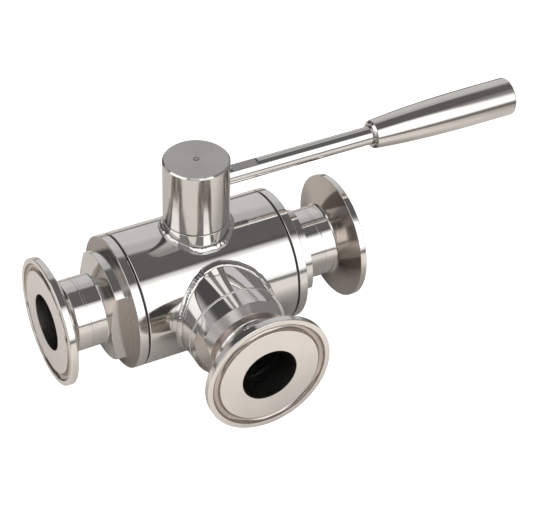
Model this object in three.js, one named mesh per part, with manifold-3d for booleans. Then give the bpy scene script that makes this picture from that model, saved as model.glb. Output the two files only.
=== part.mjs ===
// A three-way hygienic ball valve with clamp ferrules and a rod lever, in millimetres, +Z up.
//
// The origin is the centre of the ball, where the three port axes and the stem axis meet. The straight
// run lies along X, the branch port points to -Y and the stem stands up along +Z. The lever is at
// rest along +X, where the L-shaped passage of the ball joins the right port to the branch port.
// Turning the stem by -90 degrees, clockwise from above, joins the branch port to the left port.

import * as THREE from "three";
import { mergeVertices } from "three/addons/utils/BufferGeometryUtils.js";
import Module from "manifold-3d";

const wasm = await Module();
wasm.setup();

// ---- Driving dimensions ----

// Ports and clamp ferrules: the common 50.5 mm ferrule on a 1 inch line.
const PORT_R = 11.05;
const TUBE_R = 14;
const FERRULE_R = 25.25;
const FERRULE_LENGTH = 12.7;
const RIM_THICKNESS = 2.65;
const CONE_HEIGHT = 4.4;
const GROOVE_R = 21.75;
const GROOVE_HALF_WIDTH = 1.45;
const GROOVE_DEPTH = 1.6;
const RUN_REACH = 62.75;
const BRANCH_REACH = 62.6;

// Body
const BARREL_R = 26.5;
const BARREL_HALF = 31.8;
const CAVITY_R = 20.6;
const BRANCH_R = 19.36;
const BRANCH_BORE_R = 16.1;
const BRANCH_JOINT = 34.9;
const GASKET_THICKNESS = 0.5;

// End caps, each with a pair of wrench flats
const RUN_FLANGE_FACE = 35.66;
const RUN_BOSS_R = 21.5;
const RUN_BOSS_FACE = 40.55;
const BRANCH_BOSS_FACE = 43;
const BRANCH_FLAT_START = 37.6;
const CAP_CONE_LENGTH = 2.8;
const BRANCH_CONE_LENGTH = 3.5;
const BRANCH_CONE_FOOT_R = 16.8;
const BRANCH_SHOULDER_LENGTH = 0.9;
const SPIGOT_NOSE = 17;
const WRENCH_FLATS = 31.2;
const LEFT_CAP_TURN = 0;
const RIGHT_CAP_TURN = 55;
const BRANCH_CAP_TURN = 11;

// Ball and seats
const BALL_R = 20;
const SEAT_CLEARANCE = 0.4;
const SEAT_BORE_R = 11.4;
const SEAT_R = 14;
const SEAT_BACK = 22.1;
const BALL_TOP = 17.3;
const SLOT_FLOOR = 12.8;
const SLOT_WIDTH = 6.4;

// Stem, its thrust collar, the packing and the gland
const STEM_R = 5;
const STEM_CLEARANCE = 0.3;
const STEM_TOP = 51;
const COLLAR_R = 7.4;
const COLLAR_BOTTOM = 18.2;
const COLLAR_TOP = 22.6;
const COUNTERBORE_TOP = 23.4;
const STEM_FLATS = 8;
const STEM_FLATS_START = 37;
const TANG_LENGTH = 12;
const TANG_WIDTH = 6;
const TANG_BOTTOM = 13.2;
const STUFFING_R = 8.2;
const STUFFING_FLOOR = 24.6;
const PACKING_R = 7.9;
const PACKING_HEIGHT = 1.3;
const PACKING_PITCH = 1.45;
const CHEVRON = 0.7;
const FOLLOWER_TOP = 30.9;
const WASHER_THICKNESS = 0.5;
const WASHER_CONE = 0.6;
const NUT_FLATS = 14;
const NUT_BOTTOM = 33.6;
const NUT_TOP = 36.8;

// Neck, hub and stop pin
const NECK_R = 12.8;
const NECK_TOP = 30.2;
const HUB_BOTTOM = 30.5;
const HUB_TOP = 56.84;
const HUB_CHAMFER = 0.5;
const RECESS_R = 9.5;
const RECESS_TOP = 37.3;
const HUB_BORE_TOP = 51.6;
const PIN_R = 1.1;
const PIN_CIRCLE_R = 10.5;
const PIN_ANGLE = 135;
const PIN_BOTTOM = 27.4;
const PIN_TOP = 33;
const STOP_SLOT_TOP = 33.4;
const STOP_SLOT_INNER_R = 9;
const STOP_SLOT_OUTER_R = 11.9;
const STOP_SLOT_SWEEP = 90;
const STOP_SLOT_MARGIN = 7.5;

// Lever
const LEVER_HEIGHT = 45;
const ROD_R = 3.67;
const ROD_THREAD_R = 2.95;
const ROD_TIP = 5.4;
const ROD_SHOULDER = 11.5;
const ROD_FLATS = 6;
const ROD_FLATS_START = 14.6;
const ROD_FLATS_END = 25.6;
const ROD_IN_GRIP = 78.6;
const ROD_END = 95;
const GRIP_START = 75.2;
const GRIP_END = 139.25;
const GRIP_NOSE_R = 4.7;
const GRIP_EDGE = 0.6;
// The grip's outline: its radius at each distance from the stem axis.
const GRIP_SWELL = [
  [5.7, 76.2],
  [6.3, 83],
  [6.8, 90],
  [7.3, 100],
  [7.65, 112],
  [7.75, 125],
];

// Clearances and facets
const GAP = 0.3;
const THIN_GAP = 0.1;
const BIG_FACETS = 32;
const SMALL_FACETS = 24;
const CUT_REACH = 80;

// ---- Materials ----

function steel(color, roughness) {
  return new THREE.MeshStandardMaterial({ color, roughness, metalness: 1 });
}

const POLISHED = steel(0xcfcbc7, 0.18);
const SATIN = steel(0xb9b3ad, 0.38);
const BALL_STEEL = steel(0xd8d6d3, 0.08);
const SPRING_STEEL = steel(0x8f8c88, 0.35);
const PTFE = new THREE.MeshStandardMaterial({ color: 0xf0efea, roughness: 0.55, metalness: 0 });
const GASKET = new THREE.MeshStandardMaterial({ color: 0x151515, roughness: 0.7, metalness: 0 });

// ---- Turned shapes and booleans ----

// A turned solid on the Y axis. Its profile is a list of [radius, height] pairs: it starts and ends
// on the axis, or it is a ring that closes on itself.
function turned(profile, facets = BIG_FACETS) {
  const points = profile.map(([r, a]) => new THREE.Vector2(r, a));
  const onAxis = points[0].x === 0;
  if (THREE.ShapeUtils.area(points) < 0) points.reverse();
  if (!onAxis) points.push(points[0].clone());
  return new THREE.LatheGeometry(points, facets);
}

// The four directions in which turned pieces point.
const toward = {
  up: (g) => g.rotateX(Math.PI / 2),
  right: (g) => g.rotateZ(-Math.PI / 2),
  left: (g) => g.rotateZ(Math.PI / 2),
  front: (g) => g.rotateX(Math.PI),
  back: (g) => g,
};

function solid(geometry) {
  const bare = geometry.index ? geometry.toNonIndexed() : geometry.clone();
  bare.deleteAttribute("normal");
  bare.deleteAttribute("uv");
  const merged = mergeVertices(bare, 1e-4);
  return new wasm.Manifold(
    new wasm.Mesh({
      numProp: 3,
      vertProperties: merged.attributes.position.array,
      triVerts: new Uint32Array(merged.index.array),
    }),
  );
}

function geometryOf(manifold) {
  const { numProp, numVert, vertProperties, triVerts } = manifold.getMesh();
  const positions = new Float32Array(numVert * 3);
  for (let i = 0; i < numVert; i++) {
    positions.set(vertProperties.subarray(i * numProp, i * numProp + 3), i * 3);
  }
  const geometry = new THREE.BufferGeometry();
  geometry.setAttribute("position", new THREE.BufferAttribute(positions, 3));
  geometry.setIndex(new THREE.BufferAttribute(triVerts, 1));
  geometry.computeVertexNormals();
  return geometry;
}

function cut(geometry, ...tools) {
  const rest = tools.reduce((body, tool) => body.subtract(solid(tool)), solid(geometry));
  return geometryOf(rest);
}

function join(...geometries) {
  const whole = geometries.map(solid).reduce((body, piece) => body.add(piece));
  return geometryOf(whole);
}

function common(a, b) {
  return geometryOf(solid(a).intersect(solid(b)));
}

// A plain cylinder from one height to another on the Y axis.
function rod(radius, from, to, facets = BIG_FACETS) {
  return turned([[0, from], [radius, from], [radius, to], [0, to]], facets);
}

function block(x0, x1, y0, y1, z0, z1) {
  const box = new THREE.BoxGeometry(x1 - x0, y1 - y0, z1 - z0);
  return box.translate((x0 + x1) / 2, (y0 + y1) / 2, (z0 + z1) / 2);
}

// Two cutters on the Y axis that leave a pair of parallel flats, a given width apart, between two
// heights. The flats face +-X before they are turned about the axis.
function flatCutters(width, from, to, turn) {
  return [-1, 1].map((side) => {
    const near = (side * width) / 2;
    const far = side * CUT_REACH;
    const cutter = block(Math.min(near, far), Math.max(near, far), from, to, -CUT_REACH, CUT_REACH);
    return cutter.rotateY(THREE.MathUtils.degToRad(turn));
  });
}

// ---- Static pieces ----

function barrel() {
  const end = BARREL_HALF - GASKET_THICKNESS / 2 - THIN_GAP;
  const shell = toward.right(
    turned([[CAVITY_R, -end], [BARREL_R, -end], [BARREL_R, end], [CAVITY_R, end]]),
  );
  return cut(
    shell,
    toward.front(rod(BRANCH_BORE_R, 0, CUT_REACH)),
    toward.back(rod(SEAT_R + GAP, 0, SEAT_BACK + 2 * THIN_GAP)),
    toward.up(rod(COLLAR_R + 2 * GAP, 0, COUNTERBORE_TOP, SMALL_FACETS)),
    toward.up(rod(STEM_R + STEM_CLEARANCE, 0, STUFFING_FLOOR + GAP, SMALL_FACETS)),
    toward.up(rod(STUFFING_R, STUFFING_FLOOR, CUT_REACH, SMALL_FACETS)),
  );
}

// The outside of the barrel with a welding gap round it, which the neck and the branch sit on.
function barrelWithGap() {
  return toward.right(rod(BARREL_R + GAP, -CUT_REACH, CUT_REACH));
}

function branchSocket() {
  const end = BRANCH_JOINT - GASKET_THICKNESS / 2 - THIN_GAP;
  const sleeve = turned([[BRANCH_BORE_R, 0], [BRANCH_R, 0], [BRANCH_R, end], [BRANCH_BORE_R, end]]);
  return cut(toward.front(sleeve), barrelWithGap());
}

function stopPinAt(radius, from, to) {
  const turn = THREE.MathUtils.degToRad(PIN_ANGLE);
  const pin = toward.up(rod(radius, from, to, SMALL_FACETS / 2));
  return pin.translate(PIN_CIRCLE_R * Math.cos(turn), PIN_CIRCLE_R * Math.sin(turn), 0);
}

function stemNeck() {
  const sleeve = turned([[STUFFING_R, 0], [NECK_R, 0], [NECK_R, NECK_TOP], [STUFFING_R, NECK_TOP]]);
  return cut(toward.up(sleeve), barrelWithGap(), stopPinAt(PIN_R + THIN_GAP, PIN_BOTTOM, CUT_REACH));
}

// The part of an end cap that every port has: the seat pocket, the bore and the tube to the ferrule.
function capProfile(reach, spigotR, outline) {
  const tubeEnd = reach - FERRULE_LENGTH - GAP / 2;
  return [
    [PORT_R, SEAT_BACK + 2 * THIN_GAP],
    [SEAT_R + GAP, SEAT_BACK + 2 * THIN_GAP],
    [SEAT_R + GAP, SPIGOT_NOSE],
    [spigotR, SPIGOT_NOSE],
    ...outline,
    [TUBE_R, tubeEnd],
    [PORT_R, tubeEnd],
  ];
}

function runCap(turn) {
  const seal = BARREL_HALF + GASKET_THICKNESS / 2 + THIN_GAP;
  const spigotR = CAVITY_R - GAP;
  const profile = capProfile(RUN_REACH, spigotR, [
    [spigotR, seal],
    [BARREL_R, seal],
    [BARREL_R, RUN_FLANGE_FACE],
    [RUN_BOSS_R, RUN_FLANGE_FACE],
    [RUN_BOSS_R, RUN_BOSS_FACE],
    [TUBE_R, RUN_BOSS_FACE + CAP_CONE_LENGTH],
  ]);
  const flatEnd = RUN_BOSS_FACE + CAP_CONE_LENGTH;
  return cut(turned(profile), ...flatCutters(WRENCH_FLATS, RUN_FLANGE_FACE, flatEnd, turn));
}

function branchCap() {
  const seal = BRANCH_JOINT + GASKET_THICKNESS / 2 + THIN_GAP;
  const coneFoot = BRANCH_BOSS_FACE + BRANCH_CONE_LENGTH;
  const shoulderEnd = coneFoot + BRANCH_SHOULDER_LENGTH;
  const spigotR = BRANCH_BORE_R - GAP;
  const profile = capProfile(BRANCH_REACH, spigotR, [
    [spigotR, seal],
    [BRANCH_R, seal],
    [BRANCH_R, BRANCH_BOSS_FACE],
    [BRANCH_CONE_FOOT_R, coneFoot],
    [TUBE_R, shoulderEnd],
  ]);
  const flats = flatCutters(WRENCH_FLATS, BRANCH_FLAT_START, shoulderEnd, BRANCH_CAP_TURN);
  return cut(turned(profile), ...flats);
}

// A clamp ferrule whose sealing face is at the port's reach, with a round-bottomed gasket groove.
function ferrule(reach) {
  const weld = reach - FERRULE_LENGTH + GAP / 2;
  const rimBack = reach - RIM_THICKNESS;
  const steps = 4;
  const groove = [];
  for (let i = 0; i <= steps; i++) {
    const angle = (Math.PI * i) / steps;
    groove.push([
      GROOVE_R + GROOVE_HALF_WIDTH * Math.cos(angle),
      reach - GROOVE_DEPTH * Math.sin(angle),
    ]);
  }
  return turned([
    [PORT_R, weld],
    [TUBE_R, weld],
    [TUBE_R, rimBack - CONE_HEIGHT],
    [FERRULE_R, rimBack],
    [FERRULE_R, reach],
    ...groove,
    [PORT_R, reach],
  ]);
}

function bodyGasket(joint, innerR, outerR) {
  const from = joint - GASKET_THICKNESS / 2;
  const to = joint + GASKET_THICKNESS / 2;
  return turned([[innerR, from], [outerR, from], [outerR, to], [innerR, to]]);
}

// A seat ring: a spherical face towards the ball, a flat back against its pocket.
function seat() {
  const sphere = BALL_R + SEAT_CLEARANCE;
  const onSphere = (r) => [r, Math.sqrt(sphere * sphere - r * r)];
  return turned([
    onSphere(SEAT_BORE_R),
    onSphere((SEAT_BORE_R + SEAT_R) / 2),
    onSphere(SEAT_R),
    [SEAT_R, SEAT_BACK],
    [SEAT_BORE_R, SEAT_BACK],
  ]);
}

// A ring round the stem, open to it by the running clearance.
function stemRing(outline, facets = SMALL_FACETS) {
  return toward.up(turned(outline, facets));
}

const RING_BORE_R = STEM_R + STEM_CLEARANCE + THIN_GAP;

function thrustWasher() {
  const bottom = COLLAR_TOP + THIN_GAP;
  const top = COUNTERBORE_TOP - THIN_GAP;
  return stemRing([[RING_BORE_R, bottom], [COLLAR_R, bottom], [COLLAR_R, top], [RING_BORE_R, top]]);
}

function packingRing(index) {
  const bottom = STUFFING_FLOOR + THIN_GAP + index * PACKING_PITCH;
  const middleR = (RING_BORE_R + PACKING_R) / 2;
  return stemRing([
    [RING_BORE_R, bottom],
    [middleR, bottom + CHEVRON],
    [PACKING_R, bottom],
    [PACKING_R, bottom + PACKING_HEIGHT],
    [middleR, bottom + PACKING_HEIGHT + CHEVRON],
    [RING_BORE_R, bottom + PACKING_HEIGHT],
  ]);
}

function glandFollower(packingCount) {
  const bottom = STUFFING_FLOOR + THIN_GAP + packingCount * PACKING_PITCH;
  const middleR = (RING_BORE_R + PACKING_R) / 2;
  return stemRing([
    [RING_BORE_R, bottom],
    [middleR, bottom + CHEVRON],
    [PACKING_R, bottom],
    [PACKING_R, FOLLOWER_TOP],
    [RING_BORE_R, FOLLOWER_TOP],
  ]);
}

// ---- Pieces that turn with the lever ----

// The ball carries an L-shaped passage from +X to -Y and a slot for the stem's tang on top.
function ball() {
  const sphere = new THREE.SphereGeometry(BALL_R, BIG_FACETS, BIG_FACETS / 2);
  const bend = new THREE.SphereGeometry(PORT_R, SMALL_FACETS, SMALL_FACETS / 2);
  const passage = join(
    toward.right(rod(PORT_R, 0, CUT_REACH, SMALL_FACETS)),
    toward.front(rod(PORT_R, 0, CUT_REACH, SMALL_FACETS)),
    bend,
  );
  return cut(
    sphere,
    passage,
    block(-CUT_REACH, CUT_REACH, -CUT_REACH, CUT_REACH, BALL_TOP, CUT_REACH),
    block(-CUT_REACH, CUT_REACH, -SLOT_WIDTH / 2, SLOT_WIDTH / 2, SLOT_FLOOR, CUT_REACH),
  );
}

function stem() {
  const chamfer = 0.5;
  const shaft = toward.up(
    turned(
      [
        [0, COLLAR_BOTTOM],
        [COLLAR_R, COLLAR_BOTTOM],
        [COLLAR_R, COLLAR_TOP],
        [STEM_R, COLLAR_TOP],
        [STEM_R, STEM_TOP - chamfer],
        [STEM_R - chamfer, STEM_TOP],
        [0, STEM_TOP],
      ],
      SMALL_FACETS,
    ),
  );
  const halfLength = TANG_LENGTH / 2;
  const halfWidth = TANG_WIDTH / 2;
  const overlap = 1;
  const tang = block(-halfLength, halfLength, -halfWidth, halfWidth, TANG_BOTTOM, COLLAR_BOTTOM + overlap);
  const flat = STEM_FLATS / 2;
  return cut(
    join(shaft, tang),
    block(-CUT_REACH, CUT_REACH, flat, CUT_REACH, STEM_FLATS_START, CUT_REACH),
    block(-CUT_REACH, CUT_REACH, -CUT_REACH, -flat, STEM_FLATS_START, CUT_REACH),
  );
}

// A coned spring washer. The two face each other, so the stack springs.
function springWasher(bottom, flip) {
  const innerBottom = bottom + (flip ? 0 : WASHER_CONE);
  const outerBottom = bottom + (flip ? WASHER_CONE : 0);
  return stemRing([
    [RING_BORE_R, innerBottom],
    [PACKING_R, outerBottom],
    [PACKING_R, outerBottom + WASHER_THICKNESS],
    [RING_BORE_R, innerBottom + WASHER_THICKNESS],
  ]);
}

function glandNut() {
  const cornerR = NUT_FLATS / 2 / Math.cos(Math.PI / 6);
  const hexagon = toward.up(rod(cornerR, NUT_BOTTOM, NUT_TOP, 6));
  return cut(hexagon, toward.up(rod(STEM_R + GAP, 0, CUT_REACH, SMALL_FACETS)));
}

// The blind slot under the hub that the stop pin runs in: an arc a quarter turn long.
function stopSlot() {
  const start = THREE.MathUtils.degToRad(PIN_ANGLE - STOP_SLOT_MARGIN);
  const end = THREE.MathUtils.degToRad(PIN_ANGLE + STOP_SLOT_SWEEP + STOP_SLOT_MARGIN);
  const outline = new THREE.Shape();
  outline.absarc(0, 0, STOP_SLOT_OUTER_R, start, end, false);
  outline.absarc(0, 0, STOP_SLOT_INNER_R, end, start, true);
  const depth = STOP_SLOT_TOP - HUB_BOTTOM + GAP;
  const arc = new THREE.ExtrudeGeometry(outline, { depth, bevelEnabled: false, curveSegments: 12 });
  return arc.translate(0, 0, HUB_BOTTOM - GAP);
}

function handleHub() {
  const outside = toward.up(
    turned([
      [0, HUB_BOTTOM],
      [NECK_R, HUB_BOTTOM],
      [NECK_R, HUB_TOP - HUB_CHAMFER],
      [NECK_R - HUB_CHAMFER, HUB_TOP],
      [0, HUB_TOP],
    ]),
  );
  const flat = STEM_FLATS / 2 + THIN_GAP;
  const doubleD = common(
    toward.up(rod(STEM_R + THIN_GAP, HUB_BOTTOM, HUB_BORE_TOP, SMALL_FACETS)),
    block(-CUT_REACH, CUT_REACH, -flat, flat, HUB_BOTTOM, HUB_BORE_TOP),
  );
  const threadHole = toward.right(rod(ROD_THREAD_R + GAP, 0, CUT_REACH, SMALL_FACETS));
  const rodHole = toward.right(rod(ROD_R + GAP, ROD_SHOULDER - GAP, CUT_REACH, SMALL_FACETS));
  return cut(
    outside,
    toward.up(rod(RECESS_R, 0, RECESS_TOP, SMALL_FACETS)),
    doubleD,
    threadHole.translate(0, 0, LEVER_HEIGHT),
    rodHole.translate(0, 0, LEVER_HEIGHT),
    stopSlot(),
  );
}

function leverRod() {
  const chamfer = 0.5;
  const round = toward.right(
    turned(
      [
        [0, ROD_TIP],
        [ROD_THREAD_R - chamfer, ROD_TIP],
        [ROD_THREAD_R, ROD_TIP + chamfer],
        [ROD_THREAD_R, ROD_SHOULDER],
        [ROD_R, ROD_SHOULDER],
        [ROD_R, ROD_IN_GRIP],
        [ROD_THREAD_R, ROD_IN_GRIP],
        [ROD_THREAD_R, ROD_END],
        [0, ROD_END],
      ],
      SMALL_FACETS,
    ),
  );
  const flat = ROD_FLATS / 2;
  return cut(
    round,
    block(ROD_FLATS_START, ROD_FLATS_END, -CUT_REACH, CUT_REACH, flat, CUT_REACH),
    block(ROD_FLATS_START, ROD_FLATS_END, -CUT_REACH, CUT_REACH, -CUT_REACH, -flat),
  );
}

function leverGrip() {
  const endR = GRIP_SWELL.at(-1)[0];
  return toward.right(
    turned(
      [
        [0, ROD_END + GAP],
        [ROD_THREAD_R + GAP, ROD_END + GAP],
        [ROD_THREAD_R + GAP, ROD_IN_GRIP + GAP],
        [ROD_R + GAP, ROD_IN_GRIP + GAP],
        [ROD_R + GAP, GRIP_START],
        [GRIP_NOSE_R, GRIP_START],
        ...GRIP_SWELL,
        [endR, GRIP_END - GRIP_EDGE],
        [endR - GRIP_EDGE, GRIP_END],
        [0, GRIP_END],
      ],
      SMALL_FACETS,
    ),
  );
}

// ---- Assembly ----

const valve = new THREE.Group();
const staticGroup = new THREE.Group();
const turningGroup = new THREE.Group();
valve.add(staticGroup, turningGroup);

function add(group, name, geometry, material) {
  const mesh = new THREE.Mesh(geometry, material);
  mesh.name = name;
  group.add(mesh);
  return mesh;
}

add(staticGroup, "body_barrel", barrel(), POLISHED);
add(staticGroup, "branch_socket", branchSocket(), POLISHED);
add(staticGroup, "stem_neck", stemNeck(), POLISHED);

const ports = [
  { side: "left", place: toward.left, reach: RUN_REACH, cap: runCap(LEFT_CAP_TURN) },
  { side: "right", place: toward.right, reach: RUN_REACH, cap: runCap(RIGHT_CAP_TURN) },
  { side: "branch", place: toward.front, reach: BRANCH_REACH, cap: branchCap() },
];

for (const { side, place, reach, cap } of ports) {
  const gasket =
    side === "branch"
      ? bodyGasket(BRANCH_JOINT, BRANCH_BORE_R, BRANCH_R - GAP)
      : bodyGasket(BARREL_HALF, CAVITY_R, BARREL_R - GAP);
  add(staticGroup, side + "_end_cap", place(cap), POLISHED);
  add(staticGroup, side + "_ferrule", place(ferrule(reach)), SATIN);
  add(staticGroup, side + "_body_gasket", place(gasket), side === "branch" ? PTFE : GASKET);
  add(staticGroup, side + "_seat", place(seat()), PTFE);
}
add(staticGroup, "rear_seat", toward.back(seat()), PTFE);

const packingNames = ["packing_ring_lower", "packing_ring_middle", "packing_ring_upper"];
packingNames.forEach((name, index) => add(staticGroup, name, packingRing(index), PTFE));
add(staticGroup, "thrust_washer", thrustWasher(), PTFE);
add(staticGroup, "gland_follower", glandFollower(packingNames.length), SATIN);
add(staticGroup, "stop_pin", stopPinAt(PIN_R, PIN_BOTTOM + THIN_GAP, PIN_TOP), SPRING_STEEL);

const washerBottom = FOLLOWER_TOP + THIN_GAP;
const washerPitch = WASHER_THICKNESS + WASHER_CONE + THIN_GAP;
add(turningGroup, "ball", ball(), BALL_STEEL);
add(turningGroup, "stem", stem(), SATIN);
add(turningGroup, "spring_washer_lower", springWasher(washerBottom, false), SPRING_STEEL);
add(turningGroup, "spring_washer_upper", springWasher(washerBottom + washerPitch, true), SPRING_STEEL);
add(turningGroup, "gland_nut", glandNut(), SATIN);
add(turningGroup, "handle_hub", handleHub(), POLISHED);
add(turningGroup, "lever_rod", leverRod(), POLISHED).position.z = LEVER_HEIGHT;
add(turningGroup, "lever_grip", leverGrip(), SATIN).position.z = LEVER_HEIGHT;

export default valve;
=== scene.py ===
# The looks of a three-way hygienic ball valve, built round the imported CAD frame. +Z is up. Sizes are in
# millimetres unless a comment says otherwise, and MM turns them into Blender's metres.
#
# The ball's centre is the origin. The run lies along X, the branch port points to -Y, and the lever
# lies along +X at rest. Turned pieces are made on their own Z axis and then laid along their port.

import math

import bpy
from mathutils import Matrix, Vector, noise


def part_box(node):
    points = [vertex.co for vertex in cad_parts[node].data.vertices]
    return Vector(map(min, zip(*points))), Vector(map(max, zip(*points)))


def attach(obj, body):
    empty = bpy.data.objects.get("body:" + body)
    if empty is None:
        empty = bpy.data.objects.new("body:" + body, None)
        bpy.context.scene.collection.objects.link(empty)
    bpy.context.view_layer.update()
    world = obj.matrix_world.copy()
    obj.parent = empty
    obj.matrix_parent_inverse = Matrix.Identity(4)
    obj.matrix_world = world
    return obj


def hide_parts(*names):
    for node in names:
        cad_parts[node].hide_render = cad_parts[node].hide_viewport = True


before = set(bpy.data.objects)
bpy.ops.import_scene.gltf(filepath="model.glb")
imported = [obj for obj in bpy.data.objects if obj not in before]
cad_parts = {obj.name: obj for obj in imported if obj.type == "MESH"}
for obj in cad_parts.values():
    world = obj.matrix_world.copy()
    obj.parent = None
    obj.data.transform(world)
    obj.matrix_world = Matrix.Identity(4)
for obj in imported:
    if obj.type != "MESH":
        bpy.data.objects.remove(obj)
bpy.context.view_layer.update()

MM = 0.001
TAU = 2 * math.pi

STATIC = "valve_body"
TURNING = "lever_and_ball"

# The clearances between pieces.
GAP = 0.3
THIN_GAP = 0.1
SEAT_CLEARANCE = 0.4

# How far the sphere is taken to stand out past its port's edge. The CAD ball's stands out by 3.3, so
# this ball and the faces of its seats are 1.6 smaller in radius than the CAD's.
BALL_BULGE = 1.7

# ---- Sizes from the frame ----


def low(node):
    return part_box(node)[0] / MM


def high(node):
    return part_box(node)[1] / MM


BARREL_R = high("body_barrel").z
BARREL_END = high("body_barrel").x
BRANCH_R = high("branch_socket").x
BRANCH_END = -low("branch_socket").y
RUN_REACH = high("right_ferrule").x
BRANCH_REACH = -low("branch_ferrule").y
FERRULE_R = high("right_ferrule").z
TUBE_END = high("right_end_cap").x
BRANCH_TUBE_END = -low("branch_end_cap").y
SPIGOT_NOSE = low("right_end_cap").x
NECK_R = high("stem_neck").x
NECK_TOP = high("stem_neck").z
HUB_BOTTOM = low("handle_hub").z
HUB_TOP = high("handle_hub").z
LEVER_HEIGHT = (low("lever_rod").z + high("lever_rod").z) / 2
ROD_TIP = low("lever_rod").x
ROD_END = high("lever_rod").x
ROD_R = high("lever_rod").y
GRIP_START = low("lever_grip").x
GRIP_END = high("lever_grip").x
GRIP_R = high("lever_grip").y
SEAT_R = high("rear_seat").x
SEAT_BACK = high("rear_seat").y
STUFFING_R = high("gland_follower").x + GAP
BALL_R = high("ball").x + BALL_BULGE

# ---- Details, in millimetres ----

PORT_R = 11.05
TUBE_R = 14
CAVITY_R = 20.6
COUNTERBORE_R = 8
COUNTERBORE_TOP = 23.4
STEM_HOLE_R = 5.3
STUFFING_FLOOR = 24.6
BRANCH_BORE_R = 16.1
RUN_SEAL = 32.1
FLANGE_FACE = 35.66
BOSS_R = 21.5
BOSS_FACE = 40.55
CONE_LENGTH = 2.8
BRANCH_SEAL = 35.2
BRANCH_FLAT_START = 37.6
BRANCH_BOSS_FACE = 43
BRANCH_CONE_LENGTH = 3.5
BRANCH_CONE_FOOT_R = 16.8
BRANCH_SHOULDER_LENGTH = 0.9
WRENCH_FLATS = 31.2
CAP_TURN = {"left": 90, "right": 145, "branch": 11}
CAP_BEVEL = 0.18
RIM_THICKNESS = 2.65
CONE_HEIGHT = 4.4
GROOVE_R = 21.75
GROOVE_HALF_WIDTH = 1.45
GROOVE_DEPTH = 1.6

BALL_TOP = 17.3
SLOT_FLOOR = 12.8
SLOT_HALF_WIDTH = 3.2
SEAT_BORE_R = 11.4

STEM_R = 5
STEM_FLATS = 8
STEM_FLATS_START = 37
COLLAR_BOTTOM = 18.2
COLLAR_TOP = 22.6
TANG_WIDTH = 6
TANG_LENGTH = 12
HUB_BORE_TOP = 51.6
HUB_CHAMFER = 0.6
RECESS_R = 9.5
RECESS_TOP = 37.3
STOP_SLOT_TOP = 33.4
STOP_SLOT_RADII = (9.0, 11.9)
STOP_SLOT_MARGIN = 7.5
PIN_R = 1.1
CENTRE_MARK = [(1.3, 0), (1.05, 0.1), (0.95, 0.115), (0.85, 0.1), (0.6, 0)]
PIN_ANGLE = 135
PIN_CIRCLE_R = 10.5
ROD_THREAD_R = 2.95
ROD_SHOULDER = 11.5
ROD_STEP = 78.6
ROD_FLATS = (14.6, 25.6)
ROD_FLAT_HEIGHT = 3
GRIP_BORE_R = 3.25
GRIP_NOSE_R = 4.7
GRIP_SWELL = [(5.7, 76.2), (6.3, 83), (6.8, 90), (7.3, 100), (7.65, 112), (7.75, 125)]
RING_BORE_R = 5.4
CHEVRON = 0.7

# How far a cutter reaches when it passes right through.
FAR = 60

# The segments of a full turn.
FINE = 192
MEDIUM = 128
COARSE = 96
PIN_SEGMENTS = 48

# A sharper edge than this is rounded or shaded as an edge.
EDGE_ANGLE = math.radians(28)

# A profile's point is on the axis when its radius is smaller than this.
ON_AXIS = 1e-9

# ---- Mesh helpers ----


def new_object(name, vertices, faces):
    mesh = bpy.data.meshes.new(name)
    mesh.from_pydata([Vector(v) * MM for v in vertices], [], faces)
    mesh.validate()
    piece = bpy.data.objects.new(name, mesh)
    bpy.context.scene.collection.objects.link(piece)
    return piece


def arc(centre_r, centre_a, radius, start, end, steps=8):
    """Points of an arc in a profile. Angles are in degrees from the outward direction towards +a."""
    points = []
    for i in range(steps + 1):
        angle = math.radians(start + (end - start) * i / steps)
        points.append((centre_r + radius * math.cos(angle), centre_a + radius * math.sin(angle)))
    return points


def eased(profile, steps=5):
    """A profile whose corners are rounded: each corner is (radius, height) or (radius, height, fillet).

    A fillet takes no more than a share of the sides next to it.
    """
    most = 0.45
    out = []
    count = len(profile)
    for i, corner in enumerate(profile):
        here = Vector(corner[:2])
        fillet = corner[2] if len(corner) > 2 else 0
        if fillet == 0:
            out.append(tuple(here))
            continue
        before = Vector(profile[i - 1][:2]) - here
        after = Vector(profile[(i + 1) % count][:2]) - here
        half = before.angle(after) / 2
        setback = min(fillet / math.tan(half), most * before.length, most * after.length)
        start = here + before.normalized() * setback
        end = here + after.normalized() * setback
        radius = setback * math.tan(half)
        middle = here + (before.normalized() + after.normalized()).normalized() * radius / math.sin(half)
        a0 = math.atan2(start.y - middle.y, start.x - middle.x)
        a1 = math.atan2(end.y - middle.y, end.x - middle.x)
        sweep = (a1 - a0 + math.pi) % TAU - math.pi
        for k in range(steps + 1):
            angle = a0 + sweep * k / steps
            out.append((middle.x + radius * math.cos(angle), middle.y + radius * math.sin(angle)))
    return out


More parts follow.
